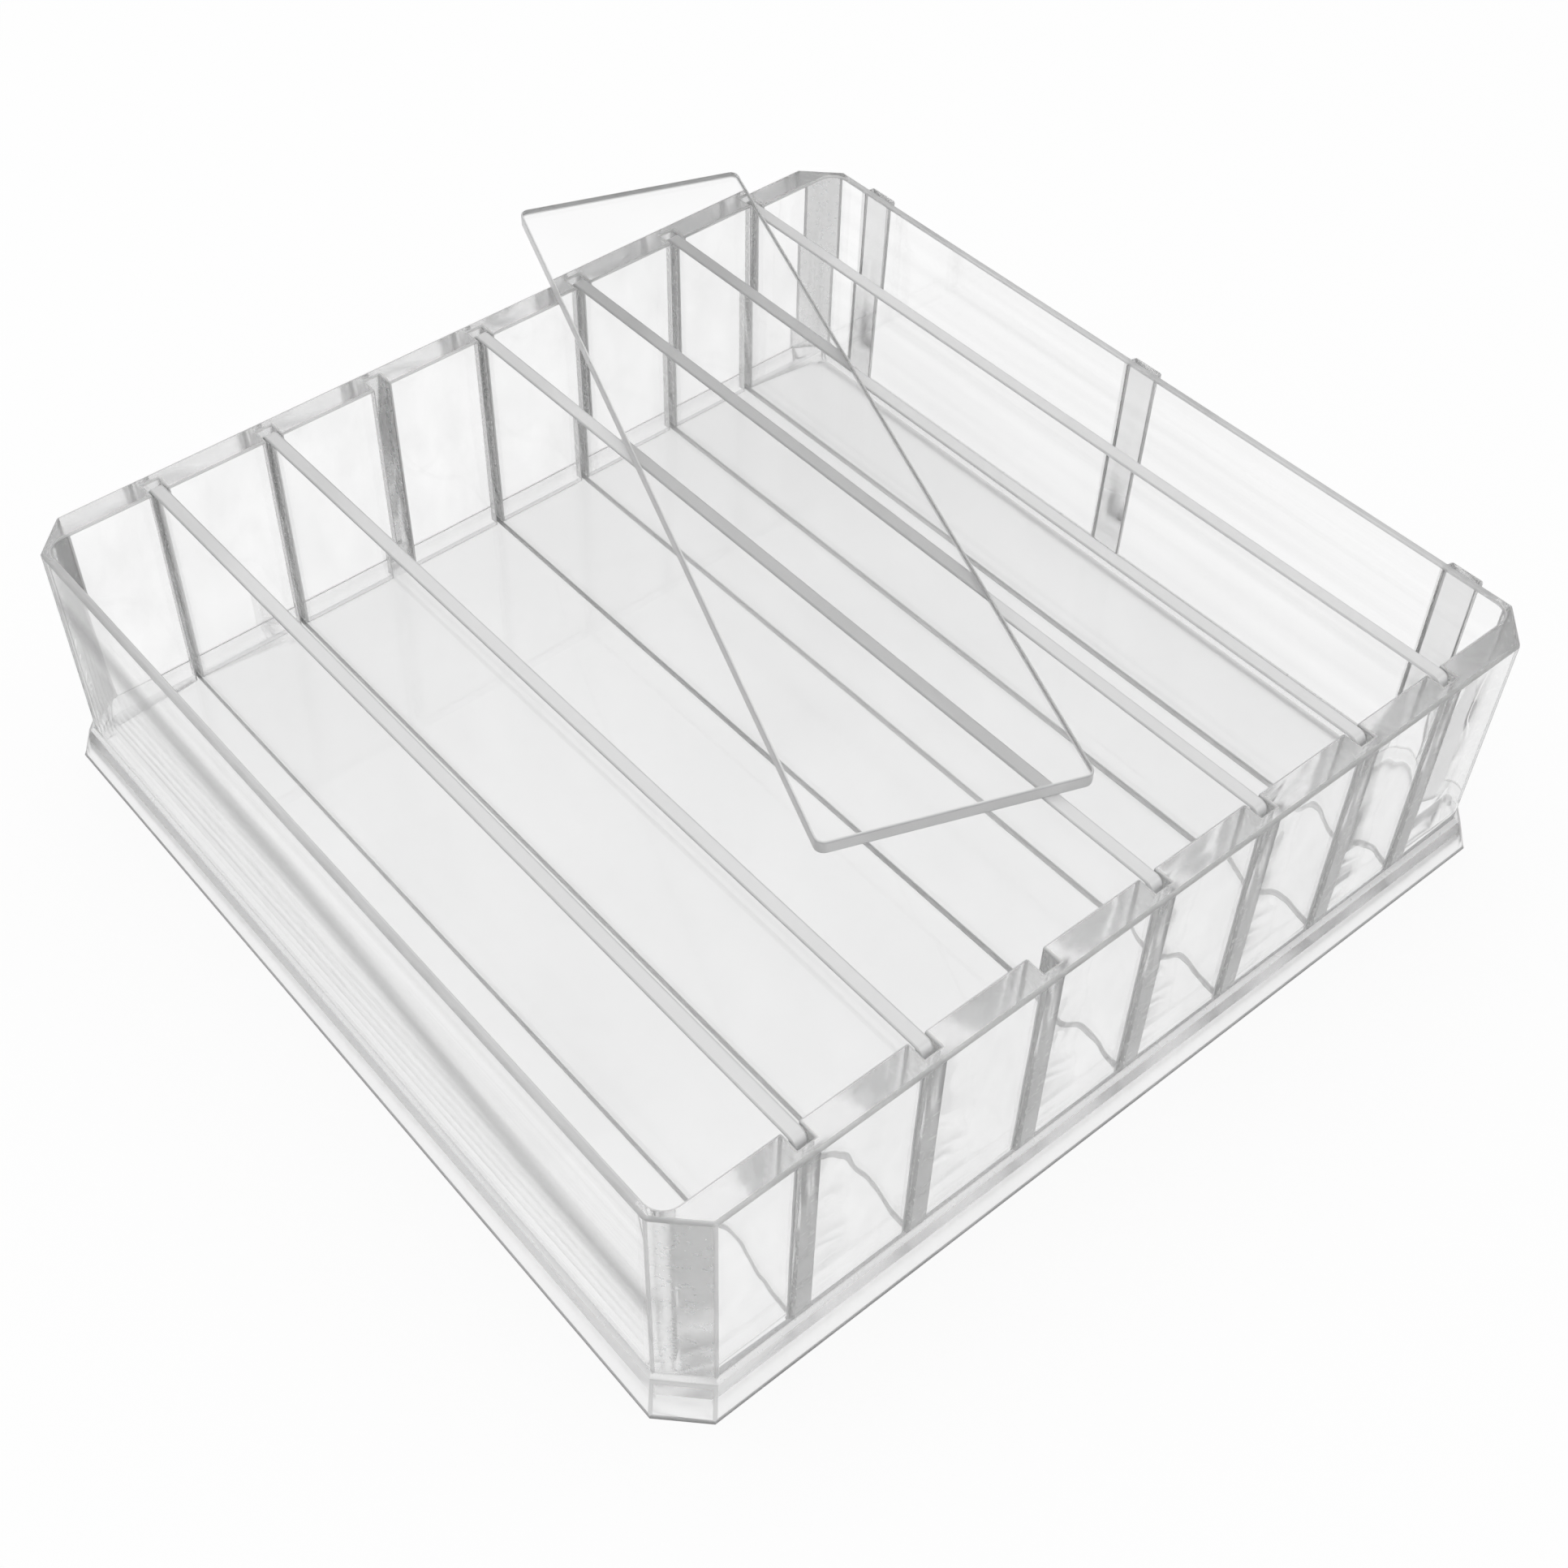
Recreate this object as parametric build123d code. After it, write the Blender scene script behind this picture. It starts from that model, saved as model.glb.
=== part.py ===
"""Divided vanity tray: one clear tray with eight long compartments and seven lift-out dividers.

Units are millimetres. The origin is the middle of the tray's underside, on the table.
+Z is up, +X runs across the compartments and +Y runs along them, towards the back wall.
"""

import os
from math import sqrt

from build123d import *

# Tray outside
RIM_WIDTH = 274.0  # across the rim, along X
RIM_DEPTH = 270.0  # across the rim, along Y
TRAY_HEIGHT = 76.0
RIM_CORNER_CUT = 8.5  # leg of the cut across each rim corner
WALL_DRAFT = 0.8  # how far each wall leans in from the rim to its foot
WALL_FOOT_HEIGHT = 11.5  # where the wall meets the flared skirt
LEDGE_OUT = 1.4  # step from the wall foot out to the skirt
LEDGE_DROP = 1.0  # fall of that step
SKIRT_FLARE = 2.4  # how far the skirt spreads from the ledge to the table
SKIRT_THICKNESS = 2.6
RIM_ROUND = 0.5  # softening of the rim's edges

# Tray inside
SIDE_WALL = 2.4  # wall thickness on the left and right
END_WALL = 8.3  # wall thickness at the front and back, which hold the grooves
POCKET_CORNER_CUT = 3.4  # leg of the cut across each inside corner
POCKET_CORNER_ROUND = 3.5  # wider than the round at the floor
FLOOR_TOP = 7.6
FLOOR_THICKNESS = 2.6
FLOOR_ROUND = 3.0  # round where the walls meet the floor

# Grooves and dividers
COMPARTMENTS = 8
FIRST_SPACE_WIDER = 0.8  # than spaces 2 to 6, which are alike
SEVENTH_SPACE_NARROWER = 4.2
EIGHTH_SPACE_NARROWER = 1.8
DIVIDER_THICKNESS = 4.0
GROOVE_DEPTH = 5.2
GROOVE_SIDE_CLEARANCE = 0.3  # on each side of a divider
GROOVE_END_CLEARANCE = 1.4  # past each end of a divider
DIVIDER_CORNER_ROUND = 2.5
DIVIDER_EDGE_ROUND = 0.4
SEAT_CLEARANCE = 0.1  # under a divider, on the floor or on the rim

# The divider that is out of its groove and lies across the rim
LOOSE_SLOT = 3
LOOSE_X = 28.9
LOOSE_Y = 32.6
LOOSE_TURN = -21.2  # degrees about Z, from lying along the grooves

# Upright ribs on the outside of the right wall
RIB_COUNT = 3
RIB_PITCH = 109.5
RIB_ROOT_WIDTH = 11.5
RIB_TIP_WIDTH = 9.8
RIB_CORNER_ROUND = 1.0

# Sizes that follow from those above
DIVIDER_COUNT = COMPARTMENTS - 1
FOOT_IN = WALL_DRAFT
LEDGE_IN = WALL_DRAFT - LEDGE_OUT
BASE_IN = LEDGE_IN - SKIRT_FLARE
LEDGE_HEIGHT = WALL_FOOT_HEIGHT - LEDGE_DROP
POCKET_WIDTH = RIM_WIDTH - 2 * SIDE_WALL
POCKET_DEPTH = RIM_DEPTH - 2 * END_WALL
WALL_LEAN = WALL_DRAFT / (TRAY_HEIGHT - WALL_FOOT_HEIGHT)
POCKET_FLOOR_IN = WALL_LEAN * (TRAY_HEIGHT - FLOOR_TOP)
RECESS_HEIGHT = FLOOR_TOP - FLOOR_THICKNESS
SKIRT_LEAN = SKIRT_FLARE / LEDGE_HEIGHT
UNEVEN_TOTAL = SEVENTH_SPACE_NARROWER + EIGHTH_SPACE_NARROWER - FIRST_SPACE_WIDER
DIVIDER_PITCH = (POCKET_WIDTH + DIVIDER_THICKNESS + UNEVEN_TOTAL) / COMPARTMENTS
FIRST_SLOT_X = DIVIDER_PITCH + FIRST_SPACE_WIDER - (POCKET_WIDTH + DIVIDER_THICKNESS) / 2
GROOVE_WIDTH = DIVIDER_THICKNESS + 2 * GROOVE_SIDE_CLEARANCE
GROOVE_END = POCKET_DEPTH / 2 + GROOVE_DEPTH
DIVIDER_LENGTH = 2 * (GROOVE_END - GROOVE_END_CLEARANCE)
DIVIDER_HEIGHT = TRAY_HEIGHT - FLOOR_TOP - SEAT_CLEARANCE
RIB_TIP_TOP = RIM_WIDTH / 2 - BASE_IN
RIB_TIP_FOOT = RIM_WIDTH / 2 - LEDGE_IN
RIB_ROOT = RIM_WIDTH / 2 - SIDE_WALL / 2 - WALL_DRAFT / 2


def cut_corner_plan(width, depth, corner_cut, inset, height):
    """A rectangle with its corners cut, moved in evenly by inset, lying at height."""
    leg = corner_cut - inset * (2 - sqrt(2))
    rectangle = Rectangle(width - 2 * inset, depth - 2 * inset)
    return Pos(0, 0, height) * chamfer(rectangle.vertices(), leg)


def slot_x(number):
    """Middle of a divider's groove, numbered from 1 at the left wall."""
    evenly_spaced_x = FIRST_SLOT_X + (number - 1) * DIVIDER_PITCH
    if number == DIVIDER_COUNT:
        return evenly_spaced_x - SEVENTH_SPACE_NARROWER
    return evenly_spaced_x


def outer_form():
    """The tray's outside as a solid block: flared skirt, ledge and leaning walls."""
    levels = [
        (BASE_IN, 0),
        (LEDGE_IN, LEDGE_HEIGHT),
        (FOOT_IN, WALL_FOOT_HEIGHT),
        (0, TRAY_HEIGHT),
    ]
    plans = [cut_corner_plan(RIM_WIDTH, RIM_DEPTH, RIM_CORNER_CUT, inset, z) for inset, z in levels]
    block = loft(plans, ruled=True)
    rim_edges = block.faces().sort_by(Axis.Z)[-1].edges()
    return fillet(rim_edges, RIM_ROUND)


def side_rib(y):
    """One upright rib, rooted in the right wall and standing out as far as the skirt does."""
    tips = [(RIB_TIP_FOOT, LEDGE_HEIGHT), (RIB_TIP_TOP, TRAY_HEIGHT)]
    plans = []
    for tip, height in tips:
        corners = [
            (RIB_ROOT, y - RIB_ROOT_WIDTH / 2),
            (tip, y - RIB_TIP_WIDTH / 2),
            (tip, y + RIB_TIP_WIDTH / 2),
            (RIB_ROOT, y + RIB_ROOT_WIDTH / 2),
        ]
        plan = Polygon(*corners, align=None)
        outer_corners = plan.vertices().sort_by(Axis.X)[-2:]
        plans.append(Pos(0, 0, height) * fillet(outer_corners, RIB_CORNER_ROUND))
    return loft(plans, ruled=True)


def pocket():
    """The hollow above the floor, with rounded corners and a rounded floor edge."""
    plans = []
    for inset, z in [(POCKET_FLOOR_IN, FLOOR_TOP), (0, TRAY_HEIGHT)]:
        plans.append(cut_corner_plan(POCKET_WIDTH, POCKET_DEPTH, POCKET_CORNER_CUT, inset, z))
    hollow = loft(plans, ruled=True)
    corner_edges = hollow.edges().filter_by(lambda edge: edge.bounding_box().size.Z > FLOOR_TOP)
    hollow = fillet(corner_edges, POCKET_CORNER_ROUND)
    floor_face = hollow.faces().sort_by(Axis.Z)[0]
    return fillet(floor_face.edges(), FLOOR_ROUND)


def under_recess():
    """The hollow under the floor, inside the skirt."""
    table_in = BASE_IN + SKIRT_THICKNESS
    top_in = table_in + SKIRT_LEAN * RECESS_HEIGHT
    plans = []
    for inset, z in [(table_in, 0), (top_in, RECESS_HEIGHT)]:
        plans.append(cut_corner_plan(RIM_WIDTH, RIM_DEPTH, RIM_CORNER_CUT, inset, z))
    return loft(plans, ruled=True)


def groove_pair(x):
    """The two upright grooves of one divider, open at the rim and down to the floor."""
    inner_y = POCKET_DEPTH / 2 - POCKET_FLOOR_IN - FLOOR_ROUND
    length = GROOVE_END - inner_y
    centre_y = (GROOVE_END + inner_y) / 2
    height = TRAY_HEIGHT - FLOOR_TOP
    cutter = Box(GROOVE_WIDTH, length, height, align=(Align.CENTER, Align.CENTER, Align.MIN))
    return [Pos(x, side * centre_y, FLOOR_TOP) * cutter for side in (-1, 1)]


def tray():
    """Walls, floor, skirt, ribs and grooves in one piece."""
    body = outer_form()
    for index in range(RIB_COUNT):
        body += side_rib((index - (RIB_COUNT - 1) / 2) * RIB_PITCH)
    body -= pocket()
    body -= under_recess()
    for number in range(1, DIVIDER_COUNT + 1):
        for groove in groove_pair(slot_x(number)):
            body -= groove
    return body


def divider():
    """One flat divider lying on the XY plane, long along Y, with softened edges."""
    outline = fillet(Rectangle(DIVIDER_HEIGHT, DIVIDER_LENGTH).vertices(), DIVIDER_CORNER_ROUND)
    panel = extrude(outline, DIVIDER_THICKNESS)
    broad_faces = panel.faces().sort_by(Axis.Z)
    rim_edges = broad_faces[0].edges() + broad_faces[-1].edges()
    return fillet(rim_edges, DIVIDER_EDGE_ROUND)


def seated_divider(number):
    """A divider standing in its pair of grooves on the floor."""
    upright = Rot(0, -90, 0) * divider()
    middle_height = TRAY_HEIGHT - DIVIDER_HEIGHT / 2
    return Pos(slot_x(number) + DIVIDER_THICKNESS / 2, 0, middle_height) * upright


def loose_divider():
    """The divider that lies flat across the rim and the tops of its neighbours."""
    return Pos(LOOSE_X, LOOSE_Y, TRAY_HEIGHT + SEAT_CLEARANCE) * Rot(0, 0, LOOSE_TURN) * divider()


def main():
    os.makedirs("parts", exist_ok=True)
    nodes = {"tray": tray()}
    for number in range(1, DIVIDER_COUNT + 1):
        if number == LOOSE_SLOT:
            nodes[f"divider_{number}_loose"] = loose_divider()
        else:
            nodes[f"divider_{number}"] = seated_divider(number)
    for name, solid in nodes.items():
        export_step(solid, f"parts/{name}.step")


main()
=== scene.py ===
from math import radians

import bmesh
import bpy
from mathutils import Matrix, Vector


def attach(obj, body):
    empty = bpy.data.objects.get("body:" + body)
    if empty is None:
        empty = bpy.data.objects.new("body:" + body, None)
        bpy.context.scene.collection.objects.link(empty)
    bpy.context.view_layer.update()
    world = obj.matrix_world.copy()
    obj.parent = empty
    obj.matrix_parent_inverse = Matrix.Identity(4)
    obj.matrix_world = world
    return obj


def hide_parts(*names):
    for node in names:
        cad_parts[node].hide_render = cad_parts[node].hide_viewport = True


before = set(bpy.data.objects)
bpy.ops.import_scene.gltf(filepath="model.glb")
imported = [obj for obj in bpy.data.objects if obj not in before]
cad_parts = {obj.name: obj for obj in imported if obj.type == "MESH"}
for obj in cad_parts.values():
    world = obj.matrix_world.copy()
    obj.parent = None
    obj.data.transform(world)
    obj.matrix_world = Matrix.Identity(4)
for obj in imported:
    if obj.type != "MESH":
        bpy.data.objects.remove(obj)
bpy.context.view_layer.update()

MM = 0.001

# Lengths are in millimetres, and sizes are given along X, Y and Z in that order

# Tray outside
RIM_SIZE = (274.0, 270.0)
FOOT_SIZE = (272.4, 268.4)  # the walls' foot, at the top of the ledge
LEDGE_SIZE = (275.2, 271.2)
BASE_SIZE = (280.0, 276.0)
LEDGE_HEIGHT = 10.5
FOOT_HEIGHT = 11.5
RIM_HEIGHT = 76.0
BASE_CORNER_CUT = 10.26
FOOT_LINE = 1.2  # height of the painted grey line round the skirt's foot, a painted shade where the tray meets the floor
SIDE_RIM_END = 121.0  # where the side walls' rim meets the rounded corners

# Tray inside
POCKET_HALF = (134.6, 126.7)  # from the middle to the inside of the walls, at the rim
WALL_LEAN_IN = 0.85
FLOOR_TOP = 7.6
FLOOR_UNDER = 5.0
SKIRT_THICKNESS = 2.6
RECESS_LEAN_IN = 1.14
GROOVE_END = 131.9
GROOVE_HALF_WIDTH = 2.3
SLOTS = (-101.0, -66.2, -31.4, 3.4, 38.2, 73.0, 103.6)

# Dividers
DIVIDER_SIZE = (4.0, 261.0, 68.3)
DIVIDER_FOOT = 7.7
LOOSE_SLOT = 3
LOOSE_PLACE = (28.9, 32.6, 76.1)
LOOSE_TURN = -21.2  # degrees

# Outside ribs
RIB_PLACES = (-109.5, 0.0, 109.5)
RIB_ROOT_X = 135.4
RIB_TIP_X = (137.45, 140.0)  # at the foot and at the top
RIB_LOW = 9.0
RIB_HIGH = 74.6  # just under the round of the rim
RIB_WIDTHS = (11.5, 9.8)  # at the root and at the tip

# Rounds, each as its width and its number of faces
POCKET_CORNER_ROUND = (5.0, 6)
FLOOR_ROUND = (3.0, 5)
RIM_ROUND = (0.9, 3)
TRAY_EDGE_ROUND = (0.6, 2)
DIVIDER_CORNER_ROUND = (2.5, 6)
DIVIDER_EDGE_ROUND = (0.5, 3)
SHARP_TURN = 43.0  # degrees between two faces, above which their edge is rounded

# Places that tell the faces and edges of the tray apart
WALLS_FROM = 20.0  # the walls' faces have their middle above this height
LEFT_WALL_X = -130.0  # the left wall's faces have their middle beyond this
UNDERSIDE_TO = 5.1
ROUNDED_FROM = 5.5  # edges above this height are rounded
CORNER_SUM = 261.0  # x and y of a place on a cut corner add up to more
INSIDE_LEDGE = (135.0, 133.0, 260.0)  # largest x, y and x + y of a plan inside the ledge
INSIDE_RIM_EDGE = (135.5, 132.5, CORNER_SUM)  # the same inside the rim's outer edge

# Camera of the photograph
PHOTO_PIXELS = 1932  # across and down
FOCAL_PIXELS = 2768.12
CENTRE_PIXEL = (870.28, 892.45)
CAMERA_PLACE = (-272.33, -313.28, 461.69)
CAMERA_FORWARD = (0.43128, 0.53474, -0.72667)
CAMERA_RIGHT = (0.77528, -0.6316, -0.00464)
SENSOR_WIDTH = 36

# Light and plastic
LIGHT_BOUNCES = 160  # light caught in the clear floor needs many to get out again
PLASTIC_IOR = 1.49
WEAR_PER_METRE = (420, 420, 420)
RIPPLES_PER_METRE = (55, 55, 40)
POLISHED = (0.0, 0.03)
SOFT_EDGE = (0.35, 0.45)  # roughness of moulded or softened edges
FINE_MOTTLE = (90, 90, 90)


def mm(*values):
    """Lengths in millimetres as metres."""
    return tuple(value * MM for value in values)


def near(value, target, room=0.05):
    """Whether a length in metres is within room of a target, both in millimetres."""
    return abs(value / MM - target) < room


def block(name, low, high):
    """A box between two corners in millimetres, ready to be shaped."""
    bpy.ops.object.select_all(action="DESELECT")
    size = [(h - l) * MM for l, h in zip(low, high)]
    middle = [(h + l) / 2 * MM for l, h in zip(low, high)]
    bpy.ops.mesh.primitive_cube_add(size=1, location=middle, scale=size)
    piece = bpy.context.object
    piece.name = name
    bpy.ops.object.transform_apply(location=True, rotation=True, scale=True)
    return piece


def start_shaping(piece):
    bpy.ops.object.select_all(action="DESELECT")
    piece.select_set(True)
    bpy.context.view_layer.objects.active = piece
    bpy.ops.object.mode_set(mode="EDIT")


def stop_shaping():
    bpy.ops.object.mode_set(mode="OBJECT")


def pick(kind, test):
    """Selects the faces, edges or points that pass a test."""
    bpy.ops.mesh.select_mode(type=kind)
    bpy.ops.mesh.select_all(action="DESELECT")
    form = bmesh.from_edit_mesh(bpy.context.edit_object.data)
    form.normal_update()
    elements = {"FACE": form.faces, "EDGE": form.edges, "VERT": form.verts}[kind]
    for element in elements:
        element.select_set(test(element))
    form.select_flush_mode()
    bmesh.update_edit_mesh(bpy.context.edit_object.data)


def is_upright(edge):
    """Whether an edge of more than 2 mm stands nearly upright."""
    a, b = (point.co for point in edge.verts)
    return abs(a.z - b.z) > 0.9 * edge.calc_length() and edge.calc_length() > 2 * MM


def at_height(element, height):
    return all(near(point.co.z, height) for point in element.verts)


def resize_picked(before, after):
    """Scales what is selected about the middle, from one size along X and Y to another."""
    factors = (after[0] / before[0], after[1] / before[1], 1)
    bpy.ops.transform.resize(value=factors, center_override=(0, 0, 0))


def raise_picked(height):
    """Extrudes the selected faces upwards, or downwards where height is negative."""
    bpy.ops.mesh.extrude_region_move(TRANSFORM_OT_translate={"value": (0, 0, height * MM)})


def move_picked(x=0.0, y=0.0):
    bpy.ops.transform.translate(value=mm(x, y, 0))


def paint_picked(piece, material):
    """Gives the selected faces one of the piece's materials."""
    piece.active_material_index = list(piece.data.materials).index(material)
    bpy.ops.object.material_slot_assign()


def round_picked(width, faces):
    """Rounds the selected edges, with the finish of the faces beside them."""
    bpy.ops.mesh.bevel(offset=width * MM, segments=faces, affect="EDGES")


def soften_picked(piece, width, faces, material):
    """Rounds the selected edges and gives the round a material of its own, which here is a grey
    that paints the dark line of a clear edge.
    """
    bpy.ops.mesh.bevel(offset=width * MM, segments=faces, affect="EDGES", clamp_overlap=False,
                       material=list(piece.data.materials).index(material))


def is_sharp(edge):
    """Whether an edge stands out sharply between two faces."""
    return edge.is_manifold and edge.calc_face_angle_signed() > radians(SHARP_TURN)


def middle_of(edge):
    return [value / MM for value in (edge.verts[0].co + edge.verts[1].co) / 2]


def centre_of(face):
    return [value / MM for value in face.calc_center_median()]


def is_outside(place, plan):
    """Whether a place lies outside a plan with cut corners: its largest x, y and x + y."""
    x, y = abs(place[0]), abs(place[1])
    return x > plan[0] or y > plan[1] or x + y > plan[2]


def smooth_shading(piece):
    """Shades the rounds smoothly and keeps the flat faces flat."""
    bpy.ops.object.select_all(action="DESELECT")
    piece.select_set(True)
    bpy.context.view_layer.objects.active = piece
    bpy.ops.object.shade_smooth()
    flat_faces = piece.modifiers.new("flat faces kept flat", "WEIGHTED_NORMAL")
    flat_faces.mode = "FACE_AREA"
    flat_faces.weight = 50
    bpy.ops.object.modifier_apply(modifier=flat_faces.name)


def in_pocket_plan(face):
    """Whether a face of the rim lies over the pocket or over one of the grooves."""
    x, y, _ = centre_of(face)
    if abs(x) > POCKET_HALF[0]:
        return False
    if abs(y) < POCKET_HALF[1]:
        return True
    return abs(y) < GROOVE_END and any(abs(x - slot) < GROOVE_HALF_WIDTH for slot in SLOTS)


def is_groove_side(face):
    """Whether a face is upright and belongs to a groove."""
    x, y, _ = centre_of(face)
    in_line = any(abs(x - slot) < GROOVE_HALF_WIDTH + 0.1 for slot in SLOTS)
    return abs(face.normal.z) < 0.1 and POCKET_HALF[1] < abs(y) < GROOVE_END + 0.1 and in_line


def is_skirt_outside(face):
    """Whether a face belongs to the flared outside of the skirt, under the ledge."""
    centre = face.calc_center_median()
    outwards = face.normal.x * centre.x + face.normal.y * centre.y
    return centre_of(face)[2] < LEDGE_HEIGHT - 0.5 and outwards > 0.05 and face.normal.z > 0.05


def is_ledge(face):
    """Whether a face is the narrow slope between the walls and the skirt."""
    centre = centre_of(face)
    in_height = LEDGE_HEIGHT < centre[2] < FOOT_HEIGHT
    return in_height and face.normal.z > 0.3 and is_outside(centre, INSIDE_LEDGE)


def is_cut_corner(face):
    """Whether a face is one of the walls' four cut corners."""
    x, y, height = centre_of(face)
    slanting = min(abs(face.normal.x), abs(face.normal.y)) > 0.5
    return height > WALLS_FROM and abs(x) + abs(y) > CORNER_SUM and slanting


def is_rim_top(face):
    return face.normal.z > 0.99 and near(face.calc_center_median().z, RIM_HEIGHT)


def is_side_rim(face):
    """Whether a face is the rim's top on the left or right wall, away from the corners."""
    x, y, _ = centre_of(face)
    return is_rim_top(face) and abs(x) > POCKET_HALF[0] and abs(y) < SIDE_RIM_END


def is_pocket_corner(edge):
    """Whether an edge stands in an inside corner of the pocket."""
    return is_upright(edge) and all(
        near(abs(point.co[axis]), POCKET_HALF[axis], room=1)
        for point in edge.verts for axis in (0, 1))


def is_outer_rim_edge(edge):
    on_rim = at_height(edge, RIM_HEIGHT) and is_outside(middle_of(edge), INSIDE_RIM_EDGE)
    return is_sharp(edge) and on_rim


def on_pocket_floor_edge(edge):
    """Whether an edge runs where the floor meets a wall, outside the grooves."""
    if not at_height(edge, FLOOR_TOP) or edge.calc_length() < 0.3 * MM:
        return False
    if any(abs(point.co.y) / MM > POCKET_HALF[1] + 0.2 for point in edge.verts):
        return False
    angles = [abs(face.normal.z) for face in edge.link_faces]
    return len(angles) == 2 and min(angles) < 0.5 < max(angles)


def shape_outside():
    """Cuts the corners, then shapes the skirt, the ledge and the walls."""
    pick("EDGE", is_upright)
    bpy.ops.mesh.bevel(offset=BASE_CORNER_CUT * MM, segments=1, affect="EDGES")
    pick("FACE", lambda face: face.normal.z > 0.9)
    resize_picked(BASE_SIZE, LEDGE_SIZE)
    raise_picked(FOOT_HEIGHT - LEDGE_HEIGHT)
    resize_picked(LEDGE_SIZE, FOOT_SIZE)
    raise_picked(RIM_HEIGHT - FOOT_HEIGHT)
    resize_picked(FOOT_SIZE, RIM_SIZE)


def sink_pocket_and_grooves():
    """Cuts the rim into strips, and sinks those over the pocket and the grooves to the floor."""
    cuts = [(x, (1, 0, 0)) for x in (-POCKET_HALF[0], POCKET_HALF[0])]
    cuts += [(slot + side * GROOVE_HALF_WIDTH, (1, 0, 0)) for slot in SLOTS for side in (-1, 1)]
    cuts += [(side * y, (0, 1, 0)) for y in (SIDE_RIM_END, POCKET_HALF[1], GROOVE_END)
             for side in (-1, 1)]
    for place, across in cuts:
        pick("FACE", is_rim_top)
        bpy.ops.mesh.bisect(plane_co=[place * MM * part for part in across], plane_no=across)
    pick("FACE", lambda face: is_rim_top(face) and in_pocket_plan(face))
    raise_picked(FLOOR_TOP - RIM_HEIGHT)
    for side in (-1, 1):
        pick("VERT", lambda point: near(point.co.z, FLOOR_TOP)
             and near(point.co.x, side * POCKET_HALF[0]))
        move_picked(x=-side * WALL_LEAN_IN)
        pick("VERT", lambda point: near(point.co.z, FLOOR_TOP)
             and near(point.co.y, side * POCKET_HALF[1]))
        move_picked(y=-side * WALL_LEAN_IN)


def paint_walls_and_rim(tray):
    """Gives the walls, the grooves and the rim their finishes."""
    pick("FACE", lambda face: abs(face.normal.y) > 0.99 and centre_of(face)[2] > WALLS_FROM)
    paint_picked(tray, end_wall)
    pick("FACE", lambda face: face.normal.x > 0.99
         or face.normal.x < -0.99 and centre_of(face)[2] > WALLS_FROM)
    paint_picked(tray, side_wall)
    pick("FACE", lambda face: abs(face.normal.x) > 0.99 and centre_of(face)[0] < LEFT_WALL_X)
    paint_picked(tray, left_wall)
    pick("FACE", is_groove_side)
    paint_picked(tray, groove_face)
    pick("FACE", is_rim_top)
    paint_picked(tray, end_rim)
    # Painted shade: the side walls' rim tops are grey and partly matt
    pick("FACE", is_side_rim)
    paint_picked(tray, side_rim)

    # The flat rim and floor lose their cutting lines
    pick("FACE", lambda face: abs(face.normal.z) > 0.999)
    bpy.ops.mesh.dissolve_limited(angle_limit=radians(0.4), delimit={"MATERIAL"})


def hollow_underside():
    """Sinks the hollow under the floor, inside the skirt."""
    pick("FACE", lambda face: face.normal.z < -0.9 and near(face.calc_center_median().z, 0))
    bpy.ops.mesh.inset(thickness=SKIRT_THICKNESS * MM)
    raise_picked(FLOOR_UNDER)
    recess = [size - 2 * SKIRT_THICKNESS for size in BASE_SIZE]
    resize_picked(recess, [size - 2 * RECESS_LEAN_IN for size in recess])


def paint_foot_and_corners(tray):
    """Gives the underside, the cut corners and the ledge their finishes, and paints a grey line of
    shade round the skirt's foot.
    """
    pick("FACE", lambda face: centre_of(face)[2] < UNDERSIDE_TO and not is_skirt_outside(face))
    paint_picked(tray, underside)
    # Painted shade: the skirt's lowest strip gets the grey edge material, a dark line where the
    # tray meets the floor
    pick("FACE", is_skirt_outside)
    bpy.ops.mesh.bisect(plane_co=mm(0, 0, FOOT_LINE), plane_no=(0, 0, 1))
    pick("FACE", lambda face: is_skirt_outside(face) and centre_of(face)[2] < FOOT_LINE)
    paint_picked(tray, rim_and_foot_painted_line)
    pick("FACE", is_cut_corner)
    paint_picked(tray, corner_face)
    pick("FACE", is_ledge)
    paint_picked(tray, ledge_face)


def tray_moulding():
    """The tray, with its walls, floor, skirt, grooves and ribs in one."""
    base_half = [size / 2 for size in BASE_SIZE]
    tray = block("tray_moulding", (-base_half[0], -base_half[1], 0), (*base_half, LEDGE_HEIGHT))
    for material in TRAY_FINISHES:
        tray.data.materials.append(material)
    start_shaping(tray)
    shape_outside()
    sink_pocket_and_grooves()
    paint_walls_and_rim(tray)
    pick("EDGE", is_pocket_corner)
    round_picked(*POCKET_CORNER_ROUND)
    pick("EDGE", on_pocket_floor_edge)
    round_picked(*FLOOR_ROUND)
    hollow_underside()
    paint_foot_and_corners(tray)
    stop_shaping()

    # The ribs join before the edges are rounded, so that the rounds end on them cleanly
    for rib_y in RIB_PLACES:
        join_solid(tray, outside_rib(rib_y))
    start_shaping(tray)
    # Painted shade: the rim's outer edge gets a grey round, which paints the dark line along it
    pick("EDGE", is_outer_rim_edge)
    soften_picked(tray, *RIM_ROUND, rim_and_foot_painted_line)
    # Painted shade: the tray's other sharp edges get grey rounds, which paint the dark lines along
    # the edges of clear plastic
    pick("EDGE", lambda edge: is_sharp(edge) and middle_of(edge)[2] > ROUNDED_FROM)
    soften_picked(tray, *TRAY_EDGE_ROUND, tray_edge_painted_line)
    stop_shaping()
    smooth_shading(tray)
    return tray


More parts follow.
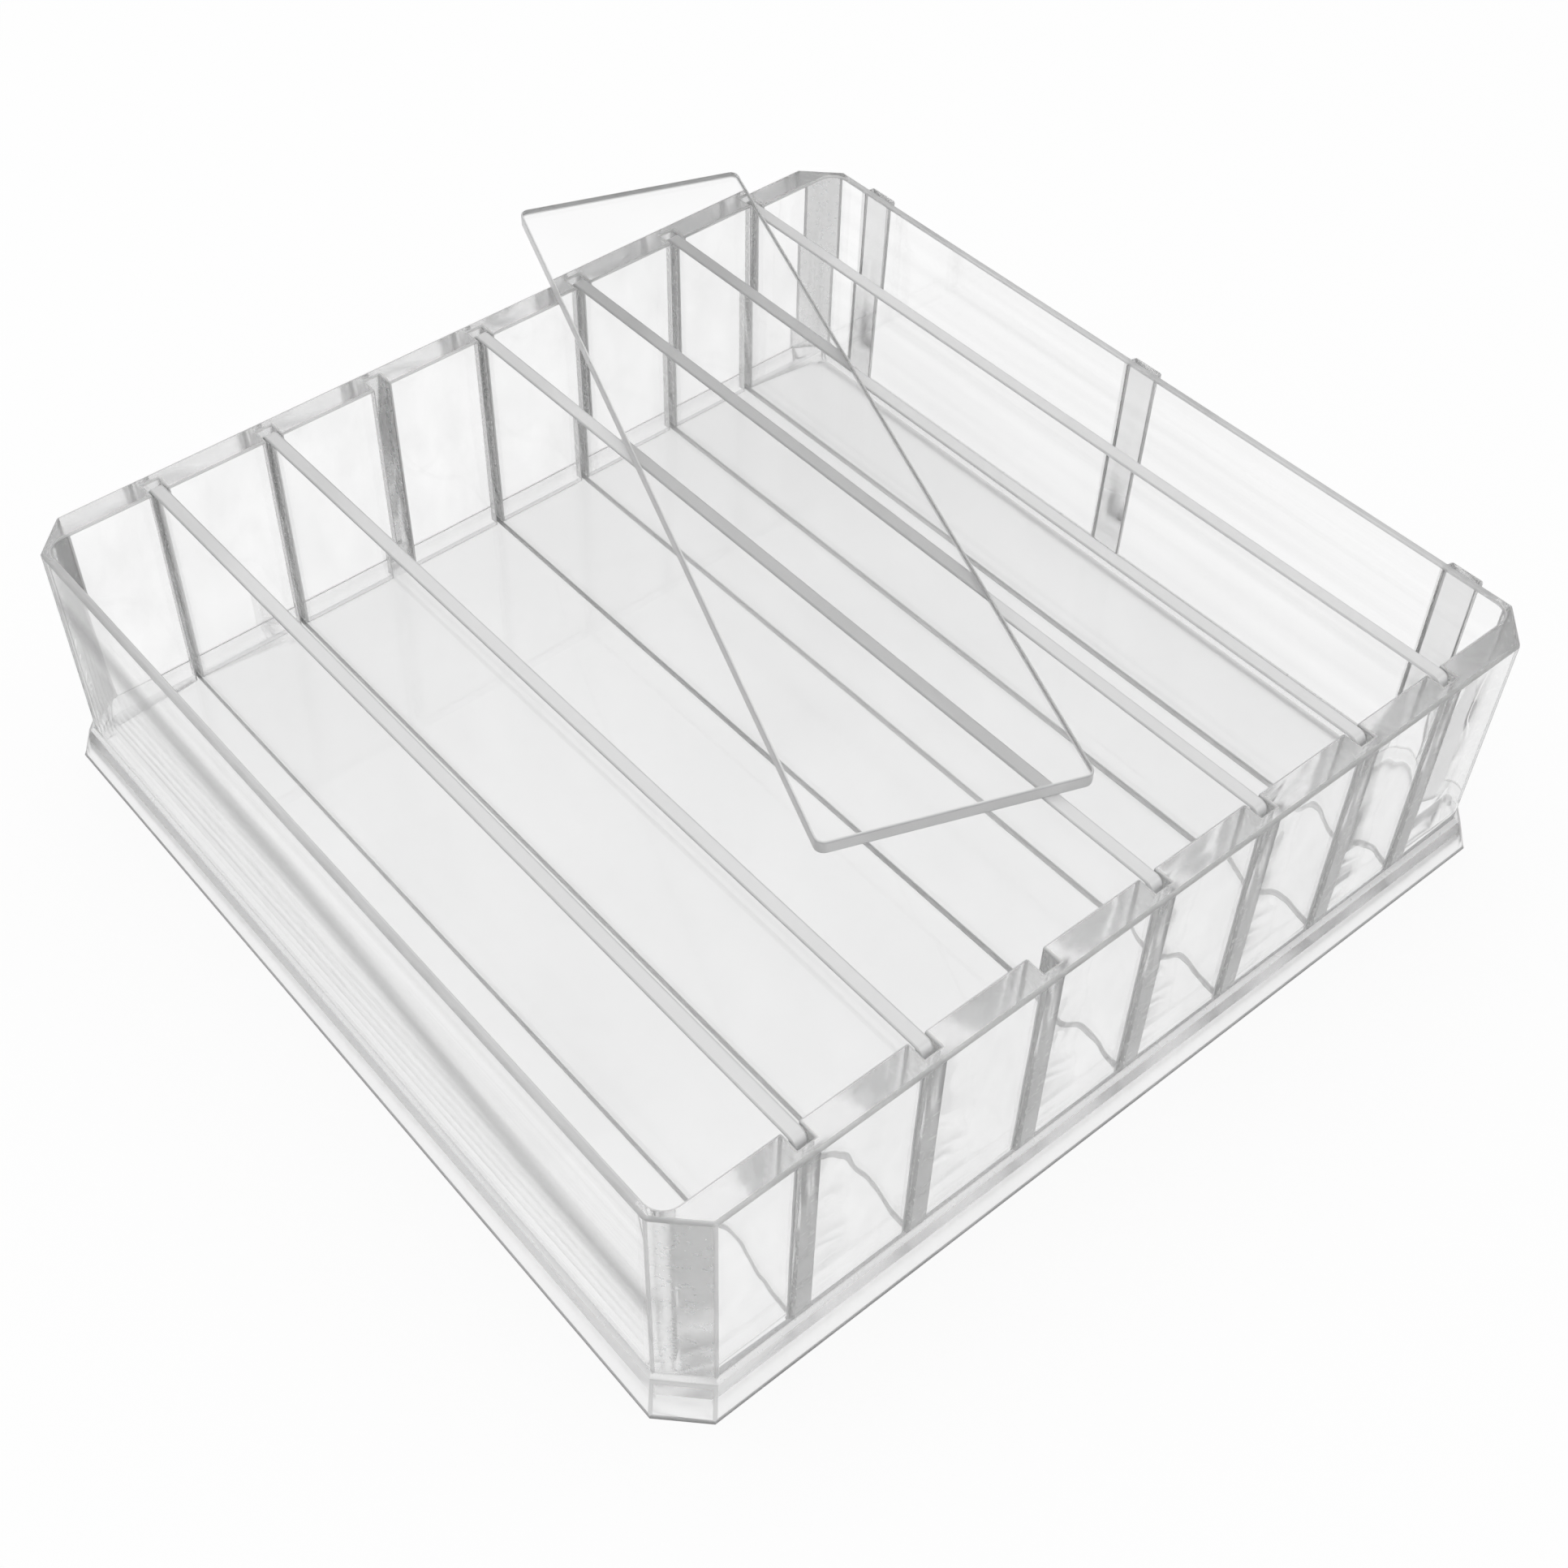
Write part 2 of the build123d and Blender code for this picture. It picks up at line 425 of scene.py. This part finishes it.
def outside_rib(y):
    """A tapered upright rib, rooted in the right wall."""
    root, tip = (width / 2 for width in RIB_WIDTHS)
    rib = block("rib", (RIB_ROOT_X, y - root, RIB_LOW), (RIB_TIP_X[1], y + root, RIB_HIGH))
    for material in TRAY_FINISHES:
        rib.data.materials.append(material)
    start_shaping(rib)
    paint_picked(rib, rib_face)
    for side in (-1, 1):
        pick("VERT", lambda point: near(point.co.x, RIB_TIP_X[1])
             and near(point.co.y, y + side * root))
        move_picked(y=-side * (root - tip))
    pick("VERT", lambda point: near(point.co.x, RIB_TIP_X[1]) and near(point.co.z, RIB_LOW))
    move_picked(x=RIB_TIP_X[0] - RIB_TIP_X[1])
    stop_shaping()
    return rib


def join_solid(piece, other):
    """Makes another solid part of a piece, without inner walls."""
    joining = piece.modifiers.new("joined", "BOOLEAN")
    joining.operation = "UNION"
    joining.solver = "EXACT"
    joining.object = other
    bpy.context.view_layer.objects.active = piece
    bpy.ops.object.modifier_apply(modifier=joining.name)
    bpy.data.objects.remove(other)


def divider_panel():
    """One divider, upright at the middle of the tray, with rounded corners."""
    half = DIVIDER_SIZE[0] / 2, DIVIDER_SIZE[1] / 2
    top = DIVIDER_FOOT + DIVIDER_SIZE[2]
    panel = block("divider_panel", (-half[0], -half[1], DIVIDER_FOOT), (*half, top))
    for material in DIVIDER_FINISHES:
        panel.data.materials.append(material)
    start_shaping(panel)
    pick("EDGE", lambda edge: all(abs(point.co.y) > (half[1] - 1) * MM for point in edge.verts)
         and near(edge.calc_length(), DIVIDER_SIZE[0]))
    round_picked(*DIVIDER_CORNER_ROUND)
    pick("FACE", lambda face: abs(face.normal.x) < 0.5)
    paint_picked(panel, divider_edge)
    pick("FACE", lambda face: abs(face.normal.y) > 0.5)
    paint_picked(panel, divider_end)
    # Painted shade: the rounds get a grey material, which paints the dark lines along the divider's
    # edges
    pick("EDGE", is_sharp)
    soften_picked(panel, *DIVIDER_EDGE_ROUND, divider_round_painted_line)
    stop_shaping()
    smooth_shading(panel)
    return panel


def panel_copy(panel, name):
    """A copy of the panel with its own mesh, selected alone."""
    copy = panel.copy()
    copy.data = panel.data.copy()
    copy.name = name
    scene.collection.objects.link(copy)
    bpy.ops.object.select_all(action="DESELECT")
    copy.select_set(True)
    bpy.context.view_layer.objects.active = copy
    return copy


def seated_divider(panel, number):
    """A divider standing in its pair of grooves."""
    divider = panel_copy(panel, f"divider_{number}_panel")
    divider.location = mm(SLOTS[number - 1], 0, 0)
    bpy.ops.object.transform_apply(location=True, rotation=True, scale=True)
    return divider


def loose_divider(panel):
    """The divider lying on its left face across the rim."""
    divider = panel_copy(panel, f"divider_{LOOSE_SLOT}_loose_panel")
    middle = DIVIDER_FOOT + DIVIDER_SIZE[2] / 2
    lie_down = Matrix.Rotation(radians(90), 4, "Y") @ Matrix.Translation(mm(0, 0, -middle))
    x, y, underside_height = LOOSE_PLACE
    place = Matrix.Translation(mm(x, y, underside_height + DIVIDER_SIZE[0] / 2))
    divider.matrix_world = place @ Matrix.Rotation(radians(LOOSE_TURN), 4, "Z") @ lie_down
    bpy.ops.object.transform_apply(location=True, rotation=True, scale=True)
    return divider


def spread(nodes, links, source, low, high):
    """Spreads the middle of a noise over a range, as most of its values lie near the middle."""
    stretch = nodes.new("ShaderNodeMapRange")
    stretch.inputs["From Min"].default_value = 0.3
    stretch.inputs["From Max"].default_value = 0.7
    stretch.inputs["To Min"].default_value = low
    stretch.inputs["To Max"].default_value = high
    links.new(source, stretch.inputs["Value"])
    return stretch.outputs["Result"]


def grain(nodes, links, per_metre, detail=3.0):
    """A noise on the piece's own coordinates, with its own fineness along X, Y and Z."""
    where = nodes.new("ShaderNodeTexCoord")
    fit = nodes.new("ShaderNodeMapping")
    fit.inputs["Scale"].default_value = per_metre
    noise = nodes.new("ShaderNodeTexNoise")
    noise.inputs["Scale"].default_value = 1.0
    noise.inputs["Detail"].default_value = detail
    links.new(where.outputs["Object"], fit.inputs["Vector"])
    links.new(fit.outputs["Vector"], noise.inputs["Vector"])
    return noise.outputs["Fac"]


def combine(nodes, links, how, first, second):
    """Arithmetic on two sockets, or on a socket and a number."""
    both = nodes.new("ShaderNodeMath")
    both.operation = how
    for socket, value in zip(both.inputs, (first, second)):
        if isinstance(value, float):
            socket.default_value = value
        else:
            links.new(value, socket)
    return both.outputs[0]


def clear_plastic(name, paleness, roughness, clearness, mottle, ripple=0.01, depth_tint=5):
    """Clear plastic with cloudy paleness, uneven polish and a rippled surface.

    paleness and roughness are the lowest and highest values, clearness is the share of light that
    goes through, mottle is how many clouds lie in a metre along each axis, ripple is the ripples'
    height in millimetres, and depth_tint darkens long ways through the plastic.
    """
    material = bpy.data.materials.new(name)
    material.use_nodes = True
    nodes, links = material.node_tree.nodes, material.node_tree.links
    shader = nodes["Principled BSDF"]
    shader.inputs["IOR"].default_value = PLASTIC_IOR
    shader.inputs["Transmission Weight"].default_value = clearness
    clouds = spread(nodes, links, grain(nodes, links, mottle), *paleness)
    links.new(clouds, shader.inputs["Base Color"])
    wear = spread(nodes, links, grain(nodes, links, WEAR_PER_METRE), *roughness)
    links.new(wear, shader.inputs["Roughness"])
    surface = nodes.new("ShaderNodeBump")
    surface.inputs["Distance"].default_value = ripple * MM
    links.new(grain(nodes, links, RIPPLES_PER_METRE, 1.0), surface.inputs["Height"])
    links.new(surface.outputs["Normal"], shader.inputs["Normal"])
    depth = nodes.new("ShaderNodeVolumeAbsorption")
    depth.inputs["Color"].default_value = (0.9, 0.9, 0.9, 1)
    depth.inputs["Density"].default_value = depth_tint
    links.new(depth.outputs["Volume"], nodes["Material Output"].inputs["Volume"])
    return material


def add_end_wall_swell(material):
    """The end walls swell at each groove and sink between, so lines seen through them bend."""
    nodes, links = material.node_tree.nodes, material.node_tree.links
    where = nodes.new("ShaderNodeTexCoord")
    swell = nodes.new("ShaderNodeTexWave")
    swell.inputs["Scale"].default_value = 9.03  # a wave every 34.8 mm, as the grooves lie
    swell.inputs["Phase Offset"].default_value = 2.53
    swell.inputs["Distortion"].default_value = 0.8
    swell.inputs["Detail Scale"].default_value = 3.0
    surface = nodes.new("ShaderNodeBump")
    surface.inputs["Distance"].default_value = 0.8 * MM
    links.new(where.outputs["Object"], swell.inputs["Vector"])
    links.new(swell.outputs["Fac"], surface.inputs["Height"])
    links.new(nodes["Bump"].outputs["Normal"], surface.inputs["Normal"])
    links.new(surface.outputs["Normal"], nodes["Principled BSDF"].inputs["Normal"])


def add_painted_shade_band(material, height, half_width, darkest):
    """Paints a soft band of shade along a wall, rising towards the back and wandering a little."""
    nodes, links = material.node_tree.nodes, material.node_tree.links
    where = nodes.new("ShaderNodeTexCoord")
    split = nodes.new("ShaderNodeSeparateXYZ")
    links.new(where.outputs["Object"], split.inputs[0])
    wander = spread(nodes, links, grain(nodes, links, (4, 9, 4), 1.0), -3 * MM, 3 * MM)
    rise = combine(nodes, links, "MULTIPLY", split.outputs["Y"], 0.09)
    middle = combine(nodes, links, "SUBTRACT", split.outputs["Z"], height * MM)
    middle = combine(nodes, links, "SUBTRACT", middle, rise)
    off = combine(nodes, links, "ABSOLUTE", combine(nodes, links, "ADD", middle, wander), 0.0)
    fade = nodes.new("ShaderNodeMapRange")
    fade.interpolation_type = "SMOOTHSTEP"
    fade.inputs["From Max"].default_value = half_width * MM
    fade.inputs["To Min"].default_value = darkest
    fade.inputs["To Max"].default_value = 1.0
    links.new(off, fade.inputs["Value"])
    shader = nodes["Principled BSDF"]
    clouds = shader.inputs["Base Color"].links[0].from_socket
    # The painted shade darkens the wall's colour inside the band
    tinted = combine(nodes, links, "MULTIPLY", clouds, fade.outputs["Result"])
    links.new(tinted, shader.inputs["Base Color"])


def floor():
    """White paper just under the tray, wide enough that its edge lies far off in every view."""
    bpy.ops.object.select_all(action="DESELECT")
    bpy.ops.mesh.primitive_plane_add(size=40, location=mm(0, 0, -0.2))
    plane = bpy.context.object
    plane.name = "floor"
    material = bpy.data.materials.new("white paper")
    material.use_nodes = True
    nodes, links = material.node_tree.nodes, material.node_tree.links
    nodes.clear()
    output = nodes.new("ShaderNodeOutputMaterial")
    mix = nodes.new("ShaderNodeMixShader")
    glow = nodes.new("ShaderNodeEmission")
    glow.inputs["Color"].default_value = (1, 1, 1, 1)
    glow.inputs["Strength"].default_value = 1
    matt = nodes.new("ShaderNodeBsdfDiffuse")
    matt.inputs["Color"].default_value = (0.9, 0.9, 0.9, 1)

    # Seen by the camera or in the plastic it is nearly all glow, so the tray's shadow stays soft
    path = nodes.new("ShaderNodeLightPath").outputs
    seen = combine(nodes, links, "MAXIMUM", path["Is Camera Ray"], path["Is Glossy Ray"])
    seen = combine(nodes, links, "MAXIMUM", seen, path["Is Transmission Ray"])
    links.new(combine(nodes, links, "MULTIPLY", seen, 0.9), mix.inputs[0])
    links.new(matt.outputs[0], mix.inputs[1])
    links.new(glow.outputs[0], mix.inputs[2])
    links.new(mix.outputs[0], output.inputs["Surface"])
    plane.data.materials.append(material)


def studio():
    """A grey room with a broad white light overhead."""
    world = bpy.data.worlds.new("studio")
    scene.world = world
    world.use_nodes = True
    nodes, links = world.node_tree.nodes, world.node_tree.links
    nodes.clear()
    output = nodes.new("ShaderNodeOutputWorld")
    background = nodes.new("ShaderNodeBackground")
    where = nodes.new("ShaderNodeTexCoord")
    split = nodes.new("ShaderNodeSeparateXYZ")
    ramp = nodes.new("ShaderNodeValToRGB")
    low, high = ramp.color_ramp.elements
    low.position, low.color = 0.25, (0.55, 0.55, 0.55, 1)
    high.position, high.color = 0.75, (1, 1, 1, 1)
    links.new(where.outputs["Generated"], split.inputs[0])
    links.new(split.outputs["Z"], ramp.inputs[0])
    links.new(ramp.outputs[0], background.inputs["Color"])
    links.new(background.outputs[0], output.inputs["Surface"])
    lamp = bpy.data.objects.new("soft lamp", bpy.data.lights.new("soft lamp", "AREA"))
    scene.collection.objects.link(lamp)
    lamp.location = (-0.2, 0.2, 1.7)
    lamp.data.size = 1.3
    lamp.data.energy = 5


def photo_camera():
    """The camera, with the place, direction and field of view of the photograph's."""
    forward = Vector(CAMERA_FORWARD).normalized()
    right = Vector(CAMERA_RIGHT)
    right = (right - forward * right.dot(forward)).normalized()
    up = right.cross(forward)
    camera = bpy.data.objects.new("photo_camera", bpy.data.cameras.new("photo_camera"))
    scene.collection.objects.link(camera)
    turn = Matrix((right, up, -forward)).transposed()
    camera.matrix_world = Matrix.Translation(mm(*CAMERA_PLACE)) @ turn.to_4x4()
    camera.data.sensor_width = SENSOR_WIDTH
    camera.data.lens = FOCAL_PIXELS / PHOTO_PIXELS * SENSOR_WIDTH
    camera.data.shift_x = (PHOTO_PIXELS / 2 - CENTRE_PIXEL[0]) / PHOTO_PIXELS
    camera.data.shift_y = (CENTRE_PIXEL[1] - PHOTO_PIXELS / 2) / PHOTO_PIXELS
    camera.data.clip_start = 0.01
    camera.data.clip_end = 20
    scene.camera = camera


scene = bpy.context.scene
scene.view_settings.view_transform = "Standard"
scene.cycles.max_bounces = LIGHT_BOUNCES
scene.cycles.transmission_bounces = LIGHT_BOUNCES
scene.cycles.glossy_bounces = LIGHT_BOUNCES
scene.cycles.diffuse_bounces = 12
scene.cycles.transparent_max_bounces = 32
scene.cycles.caustics_refractive = True
scene.cycles.caustics_reflective = True

photo_camera()
studio()
floor()

tray_clear = clear_plastic("clear tray plastic", (0.94, 1.0), POLISHED, 1.0, (14, 14, 30))
# Painted shade: grey and half matt, which paints the dark lines that clear plastic shows along its
# edges
tray_edge_painted_line = clear_plastic("tray edge round with painted grey line", (0.66, 0.74), SOFT_EDGE, 0.5, FINE_MOTTLE)
end_wall = clear_plastic("clear end wall", (0.90, 1.0), POLISHED, 1.0, (90, 60, 45), ripple=0.03)
add_end_wall_swell(end_wall)
side_wall = clear_plastic("clear side wall", (0.92, 1.0), POLISHED, 1.0, (5, 5, 260), ripple=0.02)
left_wall = clear_plastic("clear left wall", (0.77, 1.0), POLISHED, 1.0, (5, 5, 350), ripple=0.03)
# Painted shade: a dark band across the left wall
add_painted_shade_band(left_wall, height=50, half_width=10, darkest=0.5)
end_rim = clear_plastic("clear end rim", (0.90, 1.0), (0.12, 0.25), 0.9, (70, 120, 40), ripple=0.02)
# Painted shade: grey and partly matt, which paints the grey line along the side walls' tops
side_rim = clear_plastic("side rim painted grey", (0.56, 0.64), (0.3, 0.4), 0.45, (90, 30, 90))
# Painted shade: grey and half matt, which paints the dark line along the rim's outer edge and round
# the skirt's foot
rim_and_foot_painted_line = clear_plastic("rim outer edge and skirt foot with painted grey line", (0.52, 0.62), SOFT_EDGE, 0.45, FINE_MOTTLE)
groove_face = clear_plastic("groove face", (0.97, 1.0), (0.2, 0.3), 0.75, (40, 40, 20))
underside = clear_plastic("lightly frosted underside", (0.96, 1.0), (0.3, 0.4), 1.0, (30, 30, 30))
rib_face = clear_plastic("rib face", (0.96, 1.0), (0.1, 0.2), 0.9, (60, 60, 30))
corner_face = clear_plastic("cut corner", (0.94, 1.0), (0.2, 0.3), 0.7, (60, 60, 90))
ledge_face = clear_plastic("ledge above the skirt", (0.94, 1.0), (0.25, 0.35), 0.2, (60, 60, 60))
TRAY_FINISHES = (tray_clear, tray_edge_painted_line, end_wall, side_wall, left_wall, end_rim, side_rim,
                 rim_and_foot_painted_line, groove_face, underside, rib_face, corner_face, ledge_face)

divider_clear = clear_plastic("clear divider plastic", (0.975, 1.0), POLISHED, 1.0, (30, 30, 30),
                              ripple=0.005, depth_tint=2)
# Painted shade: grey and half matt, which paints the dark lines along the divider's edges
divider_round_painted_line = clear_plastic("divider edge round with painted grey line", (0.78, 0.86), SOFT_EDGE, 0.5, FINE_MOTTLE,
                              depth_tint=2)
divider_edge = clear_plastic("divider narrow side", (0.94, 1.0), (0.3, 0.4), 0.45, (40, 8, 40),
                             depth_tint=2)
divider_end = clear_plastic("divider end", (0.97, 1.0), (0.3, 0.4), 0.3, (40, 40, 20), depth_tint=2)
DIVIDER_FINISHES = (divider_clear, divider_round_painted_line, divider_edge, divider_end)

tray = tray_moulding()
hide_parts("tray")
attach(tray, "tray")

first_panel = divider_panel()
for number in range(1, len(SLOTS) + 1):
    if number == LOOSE_SLOT:
        divider = loose_divider(first_panel)
        node = f"divider_{number}_loose"
    else:
        divider = seated_divider(first_panel, number)
        node = f"divider_{number}"
    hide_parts(node)
    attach(divider, node)
bpy.data.objects.remove(first_panel)
